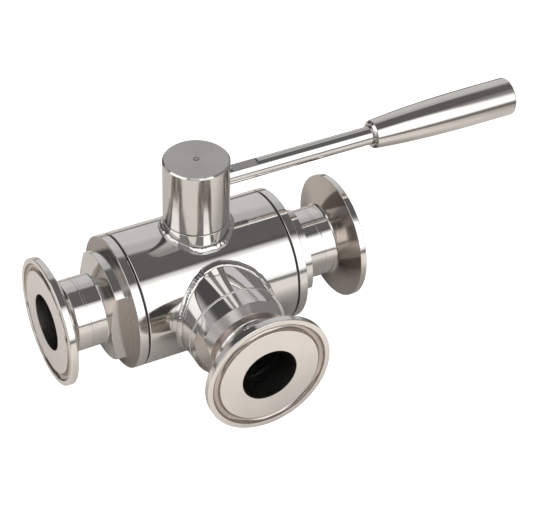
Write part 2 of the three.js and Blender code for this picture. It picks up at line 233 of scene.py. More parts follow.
def turned(name, profile, segments=FINE):
    """A closed solid turned on Z. The profile starts and ends on the axis, or closes on itself."""
    area = sum(
        p[0] * q[1] - q[0] * p[1] for p, q in zip(profile, profile[1:] + profile[:1])
    )
    if area < 0:
        profile = profile[::-1]
    on_axis = [abs(r) < ON_AXIS for r, _ in profile]
    solid_core = on_axis[0] and on_axis[-1]
    if any(on_axis) and not solid_core:
        raise ValueError(name + ": the profile has to start and end on the axis")
    vertices, rings = [], []
    for r, a in profile:
        if abs(r) < ON_AXIS:
            rings.append([len(vertices)])
            vertices.append((0, 0, a))
            continue
        rings.append(list(range(len(vertices), len(vertices) + segments)))
        for k in range(segments):
            angle = TAU * k / segments
            vertices.append((r * math.cos(angle), r * math.sin(angle), a))
    faces = []
    pairs = list(zip(rings, rings[1:]))
    if not solid_core:
        pairs.append((rings[-1], rings[0]))
    for lower, upper in pairs:
        for k in range(segments):
            n = (k + 1) % segments
            if len(lower) == 1 and len(upper) == 1:
                break
            if len(lower) == 1:
                faces.append((lower[0], upper[n], upper[k]))
            elif len(upper) == 1:
                faces.append((lower[k], lower[n], upper[0]))
            else:
                faces.append((lower[k], lower[n], upper[n], upper[k]))
    return new_object(name, vertices, faces)


def cylinder(radius, start, end, segments=COARSE):
    return turned("cutter", [(0, start), (radius, start), (radius, end), (0, end)], segments)


def block(x0, x1, y0, y1, z0, z1):
    corners = [(x, y, z) for x in (x0, x1) for y in (y0, y1) for z in (z0, z1)]
    faces = [(0, 1, 3, 2), (4, 6, 7, 5), (0, 4, 5, 1), (2, 3, 7, 6), (0, 2, 6, 4), (1, 5, 7, 3)]
    return new_object("cutter", corners, faces)


def moved(piece, matrix):
    piece.data.transform(matrix)
    return piece


def shifted(piece, x=0, y=0, z=0):
    return moved(piece, Matrix.Translation(Vector((x, y, z)) * MM))


def settled(piece):
    """The piece with its modifiers applied to the mesh."""
    depsgraph = bpy.context.evaluated_depsgraph_get()
    mesh = bpy.data.meshes.new_from_object(piece.evaluated_get(depsgraph))
    piece.modifiers.clear()
    piece.data = mesh
    return piece


def combined(piece, other, operation):
    modifier = piece.modifiers.new("boolean", "BOOLEAN")
    modifier.object = other
    modifier.operation = operation
    modifier.solver = "EXACT"
    settled(piece)
    bpy.data.objects.remove(other)
    return piece


def carved(piece, *cutters):
    for cutter in cutters:
        combined(piece, cutter, "DIFFERENCE")
    return piece


def flat_cutters(width, start, end, turn):
    """Two blocks that leave flats facing +-X, turned about Z."""
    for side in (-1, 1):
        near, outside = sorted((side * width / 2, side * FAR))
        yield moved(
            block(near, outside, -FAR, FAR, start, end), Matrix.Rotation(math.radians(turn), 4, "Z")
        )


def finished(piece, bevel=0.0, segments=3):
    """Sharp edges get a small round, then the shading follows the larger faces."""
    if bevel > 0:
        modifier = piece.modifiers.new("bevel", "BEVEL")
        modifier.width = bevel * MM
        modifier.segments = segments
        modifier.limit_method = "ANGLE"
        modifier.angle_limit = EDGE_ANGLE
        settled(piece)
    piece.data.polygons.foreach_set("use_smooth", [True] * len(piece.data.polygons))
    piece.data.set_sharp_from_angle(angle=EDGE_ANGLE)
    modifier = piece.modifiers.new("shading", "WEIGHTED_NORMAL")
    modifier.keep_sharp = True
    modifier.weight = 60
    return settled(piece)


# Where a piece made on Z goes: outwards along its port, or up the stem.
TOWARD = {
    "left": Matrix.Rotation(math.radians(-90), 4, "Y"),
    "right": Matrix.Rotation(math.radians(90), 4, "Y"),
    "branch": Matrix.Rotation(math.radians(90), 4, "X"),
    "back": Matrix.Rotation(math.radians(-90), 4, "X"),
    "up": Matrix.Identity(4),
}

# ---- Materials ----


class Nodes:
    """Adds nodes to one node tree and links them."""

    def __init__(self, owner):
        owner.use_nodes = True
        self.tree = owner.node_tree

    def add(self, kind, inputs=(), **settings):
        node = self.tree.nodes.new(kind)
        for key, value in settings.items():
            setattr(node, key, value)
        for key, value in dict(inputs).items():
            if isinstance(value, bpy.types.NodeSocket):
                self.tree.links.new(value, node.inputs[key])
            else:
                node.inputs[key].default_value = value
        return node

    def math(self, operation, a, b=0.0, clamp=False):
        return self.add("ShaderNodeMath", {0: a, 1: b}, operation=operation, use_clamp=clamp).outputs[0]

    def noise(self, vector, scale, detail=2.0, roughness=0.5):
        node = self.add(
            "ShaderNodeTexNoise",
            {"Vector": vector, "Scale": scale, "Detail": detail, "Roughness": roughness},
        )
        return node.outputs["Fac"]

    def spread(self, value, low_value, high_value, start=0.3, end=0.7):
        node = self.add(
            "ShaderNodeMapRange",
            {"Value": value, "From Min": start, "From Max": end, "To Min": low_value, "To Max": high_value},
        )
        return node.outputs["Result"]

    def smooth(self, value, start, end):
        """0 before start and 1 after end, with a soft step between them. end may come before start."""
        flip = end < start
        node = self.add(
            "ShaderNodeMapRange",
            {
                "Value": value,
                "From Min": min(start, end),
                "From Max": max(start, end),
                "To Min": 1.0 if flip else 0.0,
                "To Max": 0.0 if flip else 1.0,
            },
            interpolation_type="SMOOTHSTEP",
        )
        return node.outputs["Result"]

    def ramp(self, value, stops):
        """A grey ramp through (place, brightness) stops."""
        node = self.add("ShaderNodeValToRGB", {"Fac": value})
        elements = node.color_ramp.elements
        while len(elements) < len(stops):
            elements.new(1.0)
        for element, (place, grey) in zip(elements, stops):
            element.position = place
            element.color = (grey, grey, grey, 1)
        return node.outputs["Color"]


class Shader(Nodes):
    """The nodes of one material, on a Principled surface."""

    def __init__(self, name):
        self.material = bpy.data.materials.new(name)
        super().__init__(self.material)
        self.surface = self.tree.nodes["Principled BSDF"]

    def position(self, centre=(0, 0, 0)):
        point = self.add("ShaderNodeTexCoord").outputs["Object"]
        offset = Vector(centre) * -MM
        return self.add("ShaderNodeVectorMath", {0: point, 1: offset}, operation="ADD").outputs[0]

    def turning_marks(self, axis, centre=(0, 0, 0), pitch=0.35):
        """Noise drawn out round an axis, as a lathe tool or a polishing belt leaves it."""
        parts = self.add("ShaderNodeSeparateXYZ", {0: self.position(centre)}).outputs
        along = parts["XYZ".index(axis)]
        u, v = [parts[i] for i in range(3) if "XYZ"[i] != axis]
        squares = self.math("ADD", self.math("MULTIPLY", u, u), self.math("MULTIPLY", v, v))
        nearest = 0.0001
        radius = self.math("MAXIMUM", self.math("SQRT", squares), nearest)
        drawn_out = 1.5
        outward = 1.3
        around_u = self.math("MULTIPLY", self.math("DIVIDE", u, radius), drawn_out)
        around_v = self.math("MULTIPLY", self.math("DIVIDE", v, radius), drawn_out)
        across = self.math("ADD", along, self.math("MULTIPLY", radius, outward))
        stretched = self.math("MULTIPLY", across, 1 / (pitch * MM))
        vector = self.add("ShaderNodeCombineXYZ", {0: around_u, 1: around_v, 2: stretched}).outputs[0]
        return self.noise(vector, scale=1.0, detail=3.0, roughness=0.6)

    def bump(self, height, distance, strength=1.0):
        node = self.add(
            "ShaderNodeBump", {"Height": height, "Distance": distance * MM, "Strength": strength}
        )
        self.tree.links.new(node.outputs["Normal"], self.surface.inputs["Normal"])


def steel(name, color, roughness, axis, centre=(0, 0, 0), pitch=0.35, marks=0.0006, anisotropy=0.4):
    """Stainless steel turned or polished round an axis: fine rings, and soft clouds in the polish.

    The rings blur a reflection across themselves, so the tangent is turned by a quarter.
    """
    smoothest = 0.75
    roughest = 1.3
    darkest = 0.94
    quarter = 0.25
    shader = Shader(name)
    surface = shader.surface.inputs
    surface["Metallic"].default_value = 1.0
    surface["Anisotropic"].default_value = anisotropy
    surface["Anisotropic Rotation"].default_value = quarter
    tangent = shader.add("ShaderNodeTangent", direction_type="RADIAL", axis=axis)
    shader.tree.links.new(tangent.outputs[0], surface["Tangent"])
    rings = shader.turning_marks(axis, centre, pitch)
    clouds = shader.noise(shader.position(centre), scale=90.0, detail=3.0, roughness=0.55)
    mixed = shader.math("ADD", shader.math("MULTIPLY", rings, 0.6), shader.math("MULTIPLY", clouds, 0.4))
    rough = shader.spread(mixed, smoothest * roughness, roughest * roughness)
    shader.tree.links.new(rough, surface["Roughness"])
    tint = shader.add(
        "ShaderNodeMix",
        {
            "Factor": shader.spread(clouds, 0.0, 1.0),
            "A": (*[darkest * c for c in color], 1),
            "B": (*color, 1),
        },
        data_type="RGBA",
    )
    shader.tree.links.new(tint.outputs["Result"], surface["Base Color"])
    shader.bump(rings, marks)
    return shader.material


def plastic(name, color, roughness, grain=0.02):
    """A moulded or machined seal material: a matt skin with a fine grain and slight mottling."""
    shader = Shader(name)
    surface = shader.surface.inputs
    place = shader.position()
    mottle = shader.noise(place, scale=260.0, detail=3.0, roughness=0.6)
    fine = shader.noise(place, scale=2600.0)
    smoothest = 0.85
    roughest = 1.15
    darkest = 0.86
    tint = shader.add(
        "ShaderNodeMix",
        {
            "Factor": shader.spread(mottle, 0.0, 1.0),
            "A": (*[darkest * c for c in color], 1),
            "B": (*color, 1),
        },
        data_type="RGBA",
    )
    shader.tree.links.new(tint.outputs["Result"], surface["Base Color"])
    rough = shader.spread(mottle, smoothest * roughness, roughest * roughness)
    shader.tree.links.new(rough, surface["Roughness"])
    shader.bump(fine, grain)
    return shader.material


POLISH = (0.775, 0.755, 0.735)
SATIN = (0.755, 0.72, 0.69)
HUB_SIDE = (0.70, 0.675, 0.65)
HUB_TOP_COLOR = (0.56, 0.545, 0.525)
FERRULE_COLOR = (0.81, 0.775, 0.745)
# Painted shade: the run caps' flange faces are dark and brown for the shade that they show, on a rougher
# turned finish.
FLANGE_PAINTED_SHADE_COLOR = (0.43, 0.385, 0.355)
# Painted shade: the cone behind each ferrule's rim is darker and browner than the ferrule's steel, for the
# shade under the rim.
CONE_PAINTED_SHADE_COLOR = (0.6, 0.545, 0.505)
# Painted shade: the branch cap's cone has a satin finish, and its colour is darker and browner than the cap's
# steel for shade.
BRANCH_CONE_PAINTED_SHADE_COLOR = (0.7, 0.65, 0.62)
# Painted shade: each ferrule's face groove is darkened for the shade in its hollow.
GROOVE_PAINTED_SHADE_COLOR = (0.52, 0.465, 0.43)
# Painted shade: the hub's shallow centre mark is darkened for the shade of a hollow.
MARK_PAINTED_SHADE_COLOR = (0.3, 0.29, 0.28)
MILLED_COLOR = (0.4, 0.39, 0.38)
SPRING_COLOR = (0.5, 0.49, 0.47)
# Painted shade: the bores and the ball's passage get a dark steel that stands for the shade deep inside them.
BORE_PAINTED_SHADE_COLOR = (0.3, 0.29, 0.28)
WELD_COLOR = (0.66, 0.64, 0.62)
PTFE_COLOR = (0.86, 0.85, 0.81)
GASKET_COLOR = (0.012, 0.012, 0.012)

PORT_AXIS = {"left": "X", "right": "X", "branch": "Y"}
LEVER_CENTRE = (0, 0, LEVER_HEIGHT)

# Each steel has its name, its colour, its roughness, and the axis that it was turned round.

BARREL_STEEL = steel("barrel_steel", POLISH, 0.07, "X", pitch=0.5, anisotropy=0.5)
NECK_STEEL = steel("neck_steel", POLISH, 0.06, "Z", anisotropy=0.3)
SOCKET_STEEL = steel("socket_steel", POLISH, 0.06, "Y", anisotropy=0.3)
CAP_STEEL = {
    axis: steel("cap_steel_" + axis.lower(), POLISH, 0.11, axis, anisotropy=0.6) for axis in "XY"
}
FERRULE_STEEL = {
    axis: steel("ferrule_steel_" + axis.lower(), FERRULE_COLOR, 0.1, axis, pitch=0.25, anisotropy=0.5)
    for axis in "XY"
}
# Painted shade on the run caps' flange faces.
FLANGE_PAINTED_SHADE_STEEL = steel("flange_painted_shade_steel", FLANGE_PAINTED_SHADE_COLOR, 0.3, "X", pitch=0.22, marks=0.001)
# Painted shade for the cone behind each ferrule's rim.
CONE_PAINTED_SHADE_STEEL = {
    axis: steel("cone_painted_shade_steel_" + axis.lower(), CONE_PAINTED_SHADE_COLOR, 0.13, axis, pitch=0.22, marks=0.001)
    for axis in "XY"
}
# Painted shade: a darker steel for the hollow of each ferrule's groove.
GROOVE_PAINTED_SHADE_STEEL = {
    axis: steel("groove_painted_shade_steel_" + axis.lower(), GROOVE_PAINTED_SHADE_COLOR, 0.08, axis, pitch=0.22) for axis in "XY"
}
# Painted shade on the branch cap's satin cone.
BRANCH_CONE_PAINTED_SHADE_STEEL = steel("branch_cone_painted_shade_steel", BRANCH_CONE_PAINTED_SHADE_COLOR, 0.22, "Y", pitch=0.3, marks=0.0015)
# Painted shade in the hub's centre mark.
MARK_PAINTED_SHADE_STEEL = steel("mark_painted_shade_steel", MARK_PAINTED_SHADE_COLOR, 0.3, "Z")
# Painted shade for the insides of the bores and of the ball's passage.
BORE_PAINTED_SHADE_STEEL = {
    axis: steel("bore_painted_shade_steel_" + axis.lower(), BORE_PAINTED_SHADE_COLOR, 0.3, axis, pitch=0.3) for axis in "XY"
}
WELD_STEEL = steel("weld_steel", WELD_COLOR, 0.06, "Z", marks=0.0, anisotropy=0.0)
HUB_STEEL = steel("hub_steel", HUB_SIDE, 0.12, "Z", anisotropy=0.9)
HUB_TOP_STEEL = steel("hub_top_steel", HUB_TOP_COLOR, 0.3, "Z", pitch=0.18, marks=0.0015, anisotropy=0.6)
ROD_STEEL = steel("rod_steel", POLISH, 0.07, "X", LEVER_CENTRE, pitch=0.4, anisotropy=0.6)
MILLED_STEEL = steel("milled_steel", MILLED_COLOR, 0.3, "Z", LEVER_CENTRE, marks=0.004)
GRIP_STEEL = steel("grip_steel", SATIN, 0.13, "X", LEVER_CENTRE, pitch=0.3, anisotropy=0.7)
BALL_STEEL = steel("ball_steel", POLISH, 0.05, "Z", anisotropy=0.1)
PLAIN_STEEL = steel("plain_steel", SATIN, 0.3, "Z")
SPRING_STEEL = steel("spring_steel", SPRING_COLOR, 0.35, "Z")
PTFE = plastic("seal_white", PTFE_COLOR, 0.45)
GASKET = plastic("gasket_black", GASKET_COLOR, 0.5)

# ---- Pieces ----


def placed(piece, name, body, nodes, slot, material):
    """Gives a finished piece its name, material and CAD body, and hides what it stands for."""
    piece.name = name
    piece.data.name = name
    if not piece.data.materials:
        piece.data.materials.append(material)
    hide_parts(*nodes)
    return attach(piece, body)


def finishes(piece, outside, *others):
    """Gives the faces that pass a test its material: others are (material, test), the first that fits."""
    piece.data.materials.append(outside)
    for material, _ in others:
        piece.data.materials.append(material)
    for face in piece.data.polygons:
        fitting = [i for i, (_, test) in enumerate(others, 1) if test(face)]
        face.material_index = fitting[0] if fitting else 0


def in_bore(axis, radius=PORT_R + 0.2):
    """A test for the faces nearer than this to a port's axis, which runs along X or Y."""
    across = 1 if axis == "X" else 0

    def test(face):
        return math.hypot(face.center[across], face.center.z) < radius * MM

    return test


def on_ring(axis, start, end, outer):
    """A test for the faces between two distances along a port's axis, from the tube out to a radius."""
    along = "XYZ".index(axis)
    across = 1 - along
    inner = TUBE_R + 0.5

    def test(face):
        distance = abs(face.center[along]) / MM
        radius = math.hypot(face.center[across], face.center.z) / MM
        return start < distance < end and inner < radius < outer

    return test


def barrel():
    edge = 0.35
    piece = turned("barrel", eased([
        (CAVITY_R, -BARREL_END),
        (BARREL_R, -BARREL_END, edge),
        (BARREL_R, BARREL_END, edge),
        (CAVITY_R, BARREL_END),
    ]))
    moved(piece, TOWARD["right"])
    carved(
        piece,
        moved(cylinder(BRANCH_BORE_R, 0, FAR), TOWARD["branch"]),
        moved(cylinder(SEAT_R + GAP, 0, SEAT_BACK + 2 * THIN_GAP), TOWARD["back"]),
        cylinder(COUNTERBORE_R, 0, COUNTERBORE_TOP),
        cylinder(STEM_HOLE_R, 0, STUFFING_FLOOR + 1),
        cylinder(STUFFING_R, STUFFING_FLOOR, FAR),
    )
    placed(finished(piece), "body_barrel_steel", STATIC, ["body_barrel"], "polished_steel", BARREL_STEEL)


def barrel_tool():
    sunk = 0.05
    return moved(cylinder(BARREL_R - sunk, -FAR, FAR, FINE), TOWARD["right"])


def branch_socket():
    edge = 0.2
    piece = turned("socket", eased([
        (BRANCH_BORE_R, 0),
        (BRANCH_R, 0),
        (BRANCH_R, BRANCH_END, edge),
        (BRANCH_BORE_R, BRANCH_END),
    ]))
    carved(moved(piece, TOWARD["branch"]), barrel_tool())
    placed(finished(piece), "branch_socket_steel", STATIC, ["branch_socket"], "polished_steel", SOCKET_STEEL)


def stem_neck():
    edge = 0.25
    piece = turned("neck", eased([
        (STUFFING_R, 0),
        (NECK_R, 0),
        (NECK_R, NECK_TOP, edge),
        (STUFFING_R, NECK_TOP),
    ]))
    carved(piece, barrel_tool())
    placed(finished(piece), "stem_neck_steel", STATIC, ["stem_neck"], "polished_steel", NECK_STEEL)


def cap_inside(tube_end, spigot_r):
    """The part of a cap's profile that every port has, from its bore's outer end to the spigot."""
    pocket_r = SEAT_R + GAP
    pocket_end = SEAT_BACK + 2 * THIN_GAP
    return [
        (PORT_R, tube_end),
        (PORT_R, pocket_end),
        (pocket_r, pocket_end),
        (pocket_r, SPIGOT_NOSE),
        (spigot_r, SPIGOT_NOSE),
    ]


def run_cap(side):
    spigot_r = CAVITY_R - GAP
    cone_end = BOSS_FACE + CONE_LENGTH
    edge = 0.3
    tube_fillet = 0.6
    profile = cap_inside(TUBE_END, spigot_r) + [
        (spigot_r, RUN_SEAL),
        (BARREL_R, RUN_SEAL, edge),
        (BARREL_R, FLANGE_FACE, edge),
        (BOSS_R, FLANGE_FACE),
        (BOSS_R, BOSS_FACE),
        (TUBE_R, cone_end, tube_fillet),
        (TUBE_R, TUBE_END),
    ]
    piece = turned("cap", eased(profile))
    carved(piece, *flat_cutters(WRENCH_FLATS, FLANGE_FACE, cone_end, CAP_TURN[side]))
    moved(piece, TOWARD[side])
    finished(piece, CAP_BEVEL)
    near = 0.05
    flange_rim = BARREL_R - 0.4
    finishes(
        piece,
        CAP_STEEL["X"],
        # The faces round the bore get the painted shade of the bores.
        (BORE_PAINTED_SHADE_STEEL["X"], in_bore("X")),
        # The flange face gets painted shade.
        (FLANGE_PAINTED_SHADE_STEEL, on_ring("X", FLANGE_FACE - near, FLANGE_FACE + near, flange_rim)),
    )
    node = side + "_end_cap"
    placed(piece, node + "_steel", STATIC, [node], "polished_steel", CAP_STEEL["X"])


def branch_cap():
    spigot_r = BRANCH_BORE_R - GAP
    cone_foot = BRANCH_BOSS_FACE + BRANCH_CONE_LENGTH
    shoulder_end = cone_foot + BRANCH_SHOULDER_LENGTH
    edge = 0.3
    tube_fillet = 1.8
    profile = cap_inside(BRANCH_TUBE_END, spigot_r) + [
        (spigot_r, BRANCH_SEAL),
        (BRANCH_R, BRANCH_SEAL, edge),
        (BRANCH_R, BRANCH_BOSS_FACE),
        (BRANCH_CONE_FOOT_R, cone_foot, edge),
        (TUBE_R, shoulder_end, tube_fillet),
        (TUBE_R, BRANCH_TUBE_END),
    ]
    piece = turned("cap", eased(profile))
    carved(piece, *flat_cutters(WRENCH_FLATS, BRANCH_FLAT_START, shoulder_end, CAP_TURN["branch"]))
    moved(piece, TOWARD["branch"])
    finished(piece, CAP_BEVEL)
    finishes(
        piece,
        CAP_STEEL["Y"],
        # The faces round the bore get the painted shade of the bores.
        (BORE_PAINTED_SHADE_STEEL["Y"], in_bore("Y")),
        # The cone from the boss to the tube gets painted shade.
        (BRANCH_CONE_PAINTED_SHADE_STEEL, on_ring("Y", BRANCH_BOSS_FACE, shoulder_end, BRANCH_R)),
    )
    placed(
        piece, "branch_end_cap_steel", STATIC, ["branch_end_cap"], "polished_steel", CAP_STEEL["Y"]
    )


def ferrule(side):
    reach = BRANCH_REACH if side == "branch" else RUN_REACH
    weld = BRANCH_TUBE_END if side == "branch" else TUBE_END
    rim_back = reach - RIM_THICKNESS
    cone_foot = rim_back - CONE_HEIGHT
    groove = arc(GROOVE_R, reach, 1.0, 0, -180, 16)
    groove = [
        (GROOVE_R + (r - GROOVE_R) * GROOVE_HALF_WIDTH, reach + (a - reach) * GROOVE_DEPTH)
        for r, a in groove
    ]
    cone_fillet = 1.6
    back_edge = 0.25
    face_edge = 0.35
    bore_edge = 0.25
    piece = turned("ferrule", eased([
        (PORT_R, weld),
        (TUBE_R, weld),
        (TUBE_R, cone_foot, cone_fillet),
        (FERRULE_R, rim_back, back_edge),
        (FERRULE_R, reach, face_edge),
        *groove,
        (PORT_R, reach, bore_edge),
    ]))
    moved(piece, TOWARD[side])
    finished(piece, bevel=0.15)
    axis = PORT_AXIS[side]
    groove_top = reach - 0.12
    finishes(
        piece,
        FERRULE_STEEL[axis],
        # The faces round the bore get the painted shade of the bores.
        (BORE_PAINTED_SHADE_STEEL[axis], in_bore(axis)),
        # The groove gets painted shade for its hollow.
        (GROOVE_PAINTED_SHADE_STEEL[axis], on_ring(axis, groove_top - GROOVE_DEPTH, groove_top, FERRULE_R - 1)),
        # The cone behind the rim gets painted shade.
        (CONE_PAINTED_SHADE_STEEL[axis], on_ring(axis, cone_foot, rim_back, FERRULE_R)),
    )
    node = side + "_ferrule"
    placed(piece, node + "_steel", STATIC, [node], "satin_steel", FERRULE_STEEL[axis])


def body_gasket(side):
    node = side + "_body_gasket"
    lowest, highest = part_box(node)
    axis = 1 if side == "branch" else 0
    ends = sorted((abs(lowest[axis]), abs(highest[axis])))
    outer = (highest[2] - lowest[2]) / 2 / MM
    inner = BRANCH_BORE_R if side == "branch" else CAVITY_R
    start, end = [e / MM for e in ends]
    bulge = 0.12
    piece = turned("gasket", eased([
        (inner, start),
        (outer, start, bulge),
        (outer, end, bulge),
        (inner, end),
    ]))
    moved(piece, TOWARD[side])
    slot, material = ("seat_white", PTFE) if side == "branch" else ("gasket_black", GASKET)
    placed(finished(piece), node + "_seal", STATIC, [node], slot, material)


def seat(node, side):
    sphere = BALL_R + SEAT_CLEARANCE
    edge = 0.3
    face = []
    steps = 8
    for i in range(steps + 1):
        r = SEAT_BORE_R + (SEAT_R - SEAT_BORE_R) * i / steps
        face.append((r, math.sqrt(sphere * sphere - r * r)))
    piece = turned("seat", eased([*face, (SEAT_R, SEAT_BACK, edge), (SEAT_BORE_R, SEAT_BACK, edge)]))
    moved(piece, TOWARD[side])
    placed(finished(piece), node + "_ring", STATIC, [node], "seat_white", PTFE)


def ball():
    half_circle = arc(0, 0, BALL_R, -90, 90, 64)
    half_circle[0] = (0, -BALL_R)
    half_circle[-1] = (0, BALL_R)
    piece = turned("ball", half_circle)
    bend = arc(0, 0, PORT_R, -90, 90, 32)
    bend[0] = (0, -PORT_R)
    bend[-1] = (0, PORT_R)
    carved(
        piece,
        moved(cylinder(PORT_R, 0, FAR), TOWARD["right"]),
        moved(cylinder(PORT_R, 0, FAR), TOWARD["branch"]),
        turned("bend", bend, COARSE),
        block(-FAR, FAR, -FAR, FAR, BALL_TOP, FAR),
        block(-FAR, FAR, -SLOT_HALF_WIDTH, SLOT_HALF_WIDTH, SLOT_FLOOR, FAR),
    )
    finished(piece)
    skin = 0.3
    deep = (BALL_R - skin) * MM
    # The faces inside the ball's passage get the painted shade of the bores.
    finishes(piece, BALL_STEEL, (BORE_PAINTED_SHADE_STEEL["X"], lambda face: face.center.length < deep))
    placed(piece, "ball_steel_piece", TURNING, ["ball"], "ball_steel", BALL_STEEL)


def stop_slot():
    """The arc under the hub that the stop pin runs in, as a cutter."""
    start = math.radians(PIN_ANGLE - STOP_SLOT_MARGIN)
    sweep = math.radians(90 + 2 * STOP_SLOT_MARGIN)
    steps = 48
    rim = []
    for radius, order in zip(STOP_SLOT_RADII, (range(steps + 1), range(steps, -1, -1))):
        for i in order:
            angle = start + sweep * i / steps
            rim.append((radius * math.cos(angle), radius * math.sin(angle)))
    count = len(rim)
    vertices = [(x, y, z) for z in (HUB_BOTTOM - 1, STOP_SLOT_TOP) for x, y in rim]
    faces = [tuple(range(count)), tuple(range(2 * count - 1, count - 1, -1))]
    for i in range(count):
        n = (i + 1) % count
        faces.append((i, i + count, n + count, n))
    return new_object("cutter", vertices, faces)


def handle_hub():
    bottom_edge = 0.3
    top_edge = 0.06
    piece = turned("hub", eased([
        (0, HUB_BOTTOM),
        (NECK_R, HUB_BOTTOM, bottom_edge),
        (NECK_R, HUB_TOP - HUB_CHAMFER, top_edge),
        (NECK_R - HUB_CHAMFER, HUB_TOP, top_edge),
        *[(r, HUB_TOP - depth) for r, depth in CENTRE_MARK],
        (0, HUB_TOP),
    ]))
    flat = STEM_FLATS / 2 + THIN_GAP
    bore = cylinder(STEM_R + THIN_GAP, HUB_BOTTOM, HUB_BORE_TOP)
    combined(bore, block(-FAR, FAR, -flat, flat, 0, FAR), "INTERSECT")
    rod_hole = cylinder(ROD_THREAD_R + GAP, 0, FAR)
    rod_mouth = cylinder(ROD_R + 2 * THIN_GAP, ROD_SHOULDER - GAP, FAR)
    carved(
        piece,
        cylinder(RECESS_R, 0, RECESS_TOP),
        bore,
        stop_slot(),
        shifted(moved(rod_hole, TOWARD["right"]), z=LEVER_HEIGHT),
        shifted(moved(rod_mouth, TOWARD["right"]), z=LEVER_HEIGHT),
    )
    finished(piece, bevel=0.12)
    top = (HUB_TOP - 0.5) * MM
    mark_start, mark_end = CENTRE_MARK[-1][0] * MM, CENTRE_MARK[0][0] * MM
    finishes(
        piece,
        HUB_STEEL,
        # The centre mark gets painted shade.
        (MARK_PAINTED_SHADE_STEEL, lambda face: face.center.z > top and mark_start < face.center.xy.length < mark_end),
        (HUB_TOP_STEEL, lambda face: face.center.z > top and face.normal.z > 0.8),
    )
    placed(piece, "handle_hub_steel", TURNING, ["handle_hub"], "hub_steel", HUB_STEEL)


def lever_rod():
    edge = 0.4
    piece = turned("rod", eased([
        (0, ROD_TIP),
        (ROD_THREAD_R, ROD_TIP, edge),
        (ROD_THREAD_R, ROD_SHOULDER),
        (ROD_R, ROD_SHOULDER, edge),
        (ROD_R, ROD_STEP),
        (ROD_THREAD_R, ROD_STEP),
        (ROD_THREAD_R, ROD_END, edge),
        (0, ROD_END),
    ]), COARSE)
    carved(
        moved(piece, TOWARD["right"]),
        block(*ROD_FLATS, -FAR, FAR, ROD_FLAT_HEIGHT, FAR),
        block(*ROD_FLATS, -FAR, FAR, -FAR, -ROD_FLAT_HEIGHT),
    )
    finished(piece, bevel=0.12)
    on_flat = (ROD_FLAT_HEIGHT - 0.1) * MM
    upright = 0.999
    large = 1e-6
    finishes(piece, ROD_STEEL, (
        MILLED_STEEL,
        lambda face: abs(face.normal.z) > upright and abs(face.center.z) > on_flat and face.area > large,
    ))
    shifted(piece, z=LEVER_HEIGHT)
    placed(piece, "lever_rod_steel", TURNING, ["lever_rod"], "hub_steel", ROD_STEEL)


def swell(points, steps=6):
    """A smooth curve through given points, as (radius, height) pairs."""
    out = []
    for i in range(len(points) - 1):
        p0 = Vector(points[max(i - 1, 0)])
        p1 = Vector(points[i])
        p2 = Vector(points[i + 1])
        p3 = Vector(points[min(i + 2, len(points) - 1)])
        for k in range(steps):
            t = k / steps
            out.append(tuple(0.5 * (
                2 * p1 + (p2 - p0) * t + (2 * p0 - 5 * p1 + 4 * p2 - p3) * t * t
                + (3 * p1 - p0 - 3 * p2 + p3) * t ** 3
            )))
    return out + [tuple(points[-1])]


def lever_grip():
    nose_edge = 0.2
    end_edge = 0.6
    piece = turned("grip", eased([
        (0, ROD_END + GAP),
        (GRIP_BORE_R, ROD_END + GAP),
        (GRIP_BORE_R, ROD_STEP + GAP),
        (ROD_R + THIN_GAP, ROD_STEP + GAP),
        (ROD_R + THIN_GAP, GRIP_START),
        (GRIP_NOSE_R, GRIP_START, nose_edge),
        *swell(GRIP_SWELL),
        (GRIP_R, GRIP_END, end_edge),
        (0, GRIP_END),
    ]))
    moved(piece, TOWARD["right"])
    finished(piece, bevel=0.15)
    shifted(piece, z=LEVER_HEIGHT)
    placed(piece, "lever_grip_steel", TURNING, ["lever_grip"], "grip_steel", GRIP_STEEL)


def foot_of_tube(radius, toward, angle):
    """A point where a tube meets the barrel, with the tube's and the barrel's outward normals."""
    along = radius * math.cos(angle)
    across = radius * math.sin(angle)
    depth = math.sqrt(BARREL_R ** 2 - across ** 2)
    if toward == "up":
        return (
            Vector((along, across, depth)),
            Vector((along, across, 0)).normalized(),
            Vector((0, across, depth)).normalized(),
        )
    return (
        Vector((along, -depth, across)),
        Vector((along, 0, across)).normalized(),
        Vector((0, -depth, across)).normalized(),
    )


